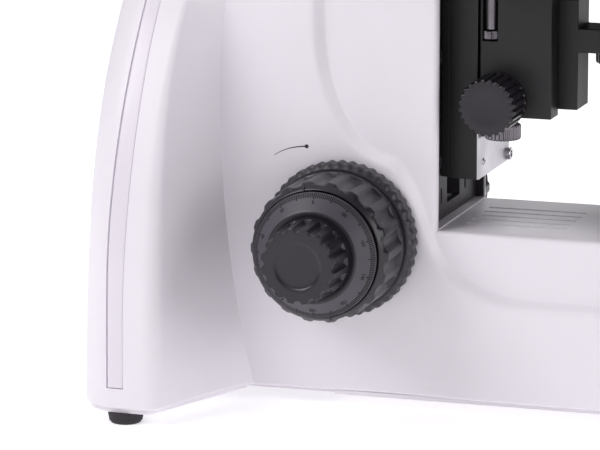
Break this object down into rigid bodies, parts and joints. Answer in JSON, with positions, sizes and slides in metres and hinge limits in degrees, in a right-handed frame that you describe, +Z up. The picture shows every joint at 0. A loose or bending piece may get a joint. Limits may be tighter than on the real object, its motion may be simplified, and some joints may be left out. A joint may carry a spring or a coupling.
{
  "type": "upright laboratory microscope",
  "caption": "Upright binocular laboratory microscope with a T-shaped foot, low coaxial focus knobs, mechanical stage, condenser and tilted revolving nosepiece.",
  "frame": {"origin": "bottom centre of the object's box, on the surface that the feet stand on", "axes": "+Z up, -Y towards the user, +X to the user's right"},
  "size_m": [0.21, 0.3598, 0.404],
  "materials": {
    "white_paint": "fine satin powder paint over a die casting",
    "white_trim": "satin moulded strip",
    "dark_plastic": "moulded with a fine matt texture",
    "knob_plastic": "moulded with a fine matt texture",
    "black_metal": "black anodised, fine grain",
    "black_sheet": "black powder coat",
    "rubber": "matt rubber",
    "steel": "ground steel",
    "nickel": "satin nickel",
    "brass": "turned brass",
    "glass": "clear polished glass",
    "mirror": "front-silvered",
    "board": "green circuit board",
    "lamp_holder": "ceramic"
  },
  "bodies": {
    "stand": {"base_casting": "white_paint", "arm_casting": "white_paint", "bottom_plate": "black_sheet", "rubber_feet": "rubber", "rear_trim_strips": "white_trim", "rear_panel": "dark_plastic", "power_inlet": "dark_plastic", "power_board": "board", "lamp_socket": "lamp_holder", "halogen_lamp": "glass", "collector_lens": "glass", "deflecting_mirror": "mirror", "field_lens_housing": "black_metal", "field_lens": "glass", "guide_panel": "dark_plastic", "guide_rails": "steel", "focus_bushes": "brass", "nosepiece_mount": "black_metal"},
    "coarse_drive": {"coarse_shaft": "steel", "coarse_knob_left": "knob_plastic", "coarse_knob_right": "knob_plastic"},
    "fine_drive": {"fine_spindle": "steel", "fine_knob_left": "knob_plastic", "fine_knob_right": "knob_plastic"},
    "idler": {"idler_gear": "brass"},
    "rack_drive": {"drive_gear": "brass"},
    "limit_stop": {"limit_ring": "knob_plastic"},
    "tension": {"tension_ring": "knob_plastic"},
    "focus_block": {"focus_slide": "black_metal", "slide_screws": "nickel"},
    "stage_frame": {"stage_carrier": "black_metal", "stage_plate": "black_metal"},
    "y_plate": {"stage_top_plate": "black_metal"},
    "y_knob": {"stage_knob_y": "knob_plastic"},
    "x_knob": {"stage_knob_x": "knob_plastic"},
    "holder": {"specimen_holder": "black_metal"},
    "finger": {"specimen_finger": "nickel"},
    "condenser": {"condenser_bracket": "black_metal", "condenser_body": "black_metal", "condenser_lens": "glass"},
    "condenser_drive": {"condenser_knob": "knob_plastic"},
    "stop_wheel": {"condenser_stop_wheel": "nickel"},
    "condenser_iris": {"iris_ring": "black_metal"},
    "filter_arm": {"filter_holder": "black_metal"},
    "turret": {"nosepiece_turret": "black_metal", "objective_4x": "nickel", "objective_10x": "nickel", "objective_40x": "nickel", "objective_100x": "nickel"},
    "nose_40": {"nose_40x": "nickel"},
    "nose_100": {"nose_100x": "nickel"},
    "head": {"head_body": "white_paint"},
    "clamp_screw": {"head_clamp_screw": "nickel"},
    "tube_right": {"eyetube_right": "white_paint", "eyepiece_right": "dark_plastic"},
    "tube_left": {"eyetube_left": "white_paint"},
    "eyepiece_turn": {"eyepiece_left": "dark_plastic"},
    "rocker": {"power_rocker": "dark_plastic"},
    "dimmer": {"dimmer_dial": "knob_plastic"},
    "field_iris": {"field_iris_ring": "black_metal"}
  },
  "joints": [
    {"name": "coarse_focus", "type": "hinge", "parent": "stand", "child": "coarse_drive", "pos_m": [0, 0.07985, 0.074], "axis": [-1, 0, 0], "range_deg": [-132.24, 65.25]},
    {"name": "idler_turn", "type": "hinge", "parent": "stand", "child": "idler", "pos_m": [0, 0.07175, 0.0875], "axis": [-1, 0, 0], "range_deg": [-200, 200]},
    {"name": "rack_gear_turn", "type": "hinge", "parent": "stand", "child": "rack_drive", "pos_m": [0, 0.06185, 0.104], "axis": [-1, 0, 0], "range_deg": [-120, 120]},
    {"name": "focus_lift", "type": "slide", "parent": "stand", "child": "focus_block", "axis": [0, 0, 1], "range_m": [-0.015, 0.0074]},
    {"name": "fine_focus", "type": "hinge", "parent": "stand", "child": "fine_drive", "pos_m": [0, 0.07985, 0.074], "axis": [-1, 0, 0], "range_deg": [-1080.1, 1080.1]},
    {"name": "fine_lift", "type": "slide", "parent": "focus_block", "child": "stage_frame", "axis": [0, 0, 1], "range_m": [-0.0006, 0.0006]},
    {"name": "focus_limit", "type": "hinge", "parent": "stand", "child": "limit_stop", "pos_m": [0, 0.07985, 0.074], "axis": [-1, 0, 0], "range_deg": [0, 50]},
    {"name": "focus_tension", "type": "hinge", "parent": "stand", "child": "tension", "pos_m": [0, 0.07985, 0.074], "axis": [-1, 0, 0], "range_deg": [-150, 150]},
    {"name": "stage_y_travel", "type": "slide", "parent": "stage_frame", "child": "y_plate", "axis": [0, 1, 0], "range_m": [-0.025, 0.015]},
    {"name": "stage_y_knob_turn", "type": "hinge", "parent": "stage_frame", "child": "y_knob", "pos_m": [0.066, -0.01415, 0.141], "axis": [0, 0, 1], "range_deg": [-220.39, 132.24]},
    {"name": "stage_x_travel", "type": "slide", "parent": "y_plate", "child": "holder", "axis": [1, 0, 0], "range_m": [-0.038, 0.038]},
    {"name": "stage_x_knob_turn", "type": "hinge", "parent": "stage_frame", "child": "x_knob", "pos_m": [0.066, -0.01415, 0.123], "axis": [0, 0, 1], "range_deg": [-334.98, 334.98]},
    {"name": "specimen_finger_open", "type": "hinge", "parent": "holder", "child": "finger", "pos_m": [0.044, -0.01615, 0.2007], "axis": [0, 0, 1], "range_deg": [0, 35], "stiffness_Nm_per_rad": 0.02},
    {"name": "condenser_lift", "type": "slide", "parent": "stage_frame", "child": "condenser", "axis": [0, 0, 1], "range_m": [-0.022, 0.0008]},
    {"name": "condenser_knob_turn", "type": "hinge", "parent": "stage_frame", "child": "condenser_drive", "pos_m": [0, 0.02025, 0.1304], "axis": [-1, 0, 0], "range_deg": [-274.04, 9.98]},
    {"name": "condenser_stop_turn", "type": "hinge", "parent": "stage_frame", "child": "stop_wheel", "pos_m": [-0.0125, 0.02045, 0.116], "axis": [0, 0, 1], "range_deg": [-180, 180]},
    {"name": "condenser_iris_turn", "type": "hinge", "parent": "condenser", "child": "condenser_iris", "pos_m": [0, -0.05415, 0.139], "axis": [0, 0, 1], "range_deg": [-40, 40]},
    {"name": "filter_swing", "type": "hinge", "parent": "condenser", "child": "filter_arm", "pos_m": [0.0295, -0.05415, 0.13], "axis": [0, 0, 1], "range_deg": [0, 95]},
    {"name": "nosepiece_turn", "type": "hinge", "parent": "stand", "child": "turret", "pos_m": [0, -0.03479, 0.27165], "axis": [0, -0.2419, 0.9703], "continuous": true},
    {"name": "nose_40x_retract", "type": "slide", "parent": "turret", "child": "nose_40", "axis": [0.2419, -0.2347, 0.9415], "range_m": [0, 0.002], "stiffness_N_per_m": 600},
    {"name": "nose_100x_retract", "type": "slide", "parent": "turret", "child": "nose_100", "axis": [0, -0.4695, 0.8829], "range_m": [0, 0.002], "stiffness_N_per_m": 600},
    {"name": "head_turn", "type": "hinge", "parent": "stand", "child": "head", "pos_m": [0, -0.05415, 0.33], "axis": [0, 0, 1], "range_deg": [-180, 180]},
    {"name": "head_clamp_turn", "type": "hinge", "parent": "stand", "child": "clamp_screw", "pos_m": [0.048, -0.05415, 0.3258], "axis": [1, 0, 0], "range_deg": [-360, 360]},
    {"name": "eye_distance", "type": "hinge", "parent": "head", "child": "tube_right", "pos_m": [0, -0.09415, 0.367], "axis": [0, -0.866, 0.5], "range_deg": [-8, 12]},
    {"name": "eye_distance_left", "type": "hinge", "parent": "head", "child": "tube_left", "pos_m": [0, -0.09415, 0.367], "axis": [0, -0.866, 0.5], "range_deg": [-12.02, 8.02]},
    {"name": "diopter_turn", "type": "hinge", "parent": "tube_left", "child": "eyepiece_turn", "pos_m": [-0.03214, -0.13845, 0.37027], "axis": [0, -0.866, 0.5], "range_deg": [-150, 150]},
    {"name": "power_rocker_press", "type": "hinge", "parent": "stand", "child": "rocker", "pos_m": [0.019, 0.17235, 0.031], "axis": [1, 0, 0], "range_deg": [-16, 0]},
    {"name": "dimmer_turn", "type": "hinge", "parent": "stand", "child": "dimmer", "pos_m": [0.045, -0.02415, 0.028], "axis": [1, 0, 0], "range_deg": [0, 270]},
    {"name": "field_iris_turn", "type": "hinge", "parent": "stand", "child": "field_iris", "pos_m": [0, -0.05415, 0.084], "axis": [0, 0, 1], "range_deg": [0, 90]}
  ],
  "couplings": [
    {"joint": "coarse_focus", "follows": "focus_lift", "rad_per_m": 153.85},
    {"joint": "idler_turn", "follows": "focus_lift", "rad_per_m": -109.98},
    {"joint": "rack_gear_turn", "follows": "focus_lift", "rad_per_m": 100},
    {"joint": "fine_focus", "follows": "fine_lift", "rad_per_m": 31416},
    {"joint": "stage_y_knob_turn", "follows": "stage_y_travel", "rad_per_m": 153.85},
    {"joint": "stage_x_knob_turn", "follows": "stage_x_travel", "rad_per_m": 153.85},
    {"joint": "condenser_knob_turn", "follows": "condenser_lift", "rad_per_m": 217.39},
    {"joint": "eye_distance_left", "follows": "eye_distance", "ratio": -1}
  ]
}
